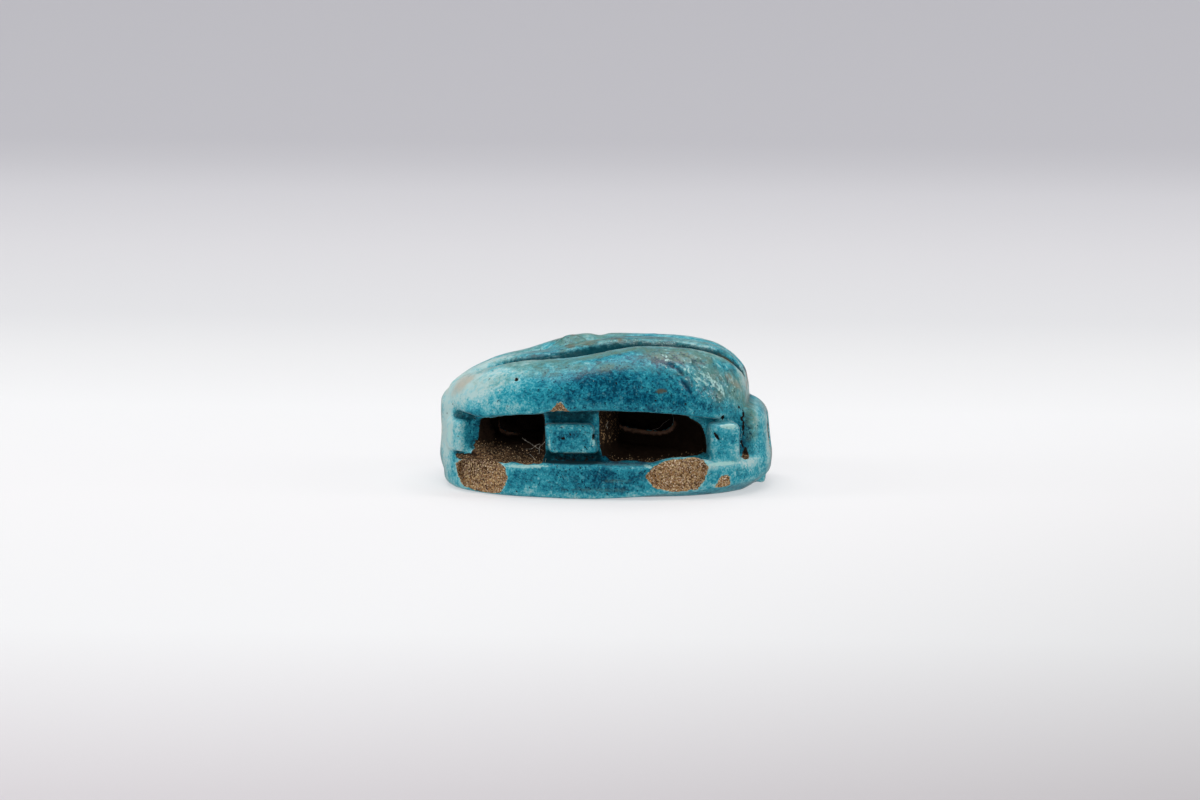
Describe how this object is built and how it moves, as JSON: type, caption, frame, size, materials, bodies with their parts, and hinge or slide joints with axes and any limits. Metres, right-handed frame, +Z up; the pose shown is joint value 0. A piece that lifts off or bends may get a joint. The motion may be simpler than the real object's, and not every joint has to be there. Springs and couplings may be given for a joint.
{
  "type": "scarab amulet",
  "caption": "Small beetle-shaped glazed amulet on an oval base, pierced lengthwise for a cord, with stub legs and deep openings under the wing cases.",
  "frame": {"origin": "middle of the amulet's outline, on the surface that its underside stands on", "axes": "+X along the beetle to its head, +Y to its left side (the side away from the picture's viewer), +Z up through its back"},
  "size_m": [0.0164, 0.0114, 0.0072],
  "materials": {
    "glaze": "gloss"
  },
  "bodies": {
    "root": {"scarab_amulet": "glaze"}
  },
  "joints": []
}
